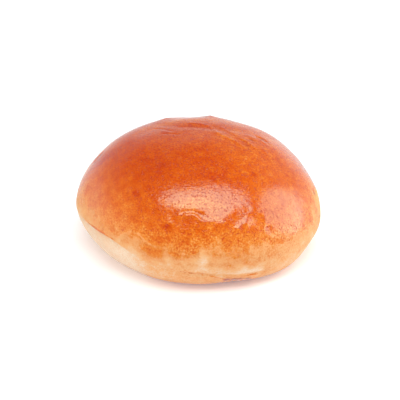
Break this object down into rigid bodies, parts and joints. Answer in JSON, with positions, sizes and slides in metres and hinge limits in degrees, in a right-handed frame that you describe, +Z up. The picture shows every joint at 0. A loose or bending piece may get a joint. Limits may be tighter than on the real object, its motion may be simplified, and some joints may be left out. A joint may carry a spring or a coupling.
{
  "type": "brioche burger bun",
  "caption": "Uncut round brioche burger bun: glossy domed crust over a paler side that curves in to a flat base, for sandwiches and burgers.",
  "frame": {"origin": "middle of the bounding box, at the flat base", "axes": "+Z up from the base to the top of the dome, -Y towards the side that the picture shows, +X to that side's right"},
  "size_m": [0.1038, 0.1028, 0.0496],
  "materials": {
    "crust": "satin"
  },
  "bodies": {
    "root": {"bun": "crust"}
  },
  "joints": []
}
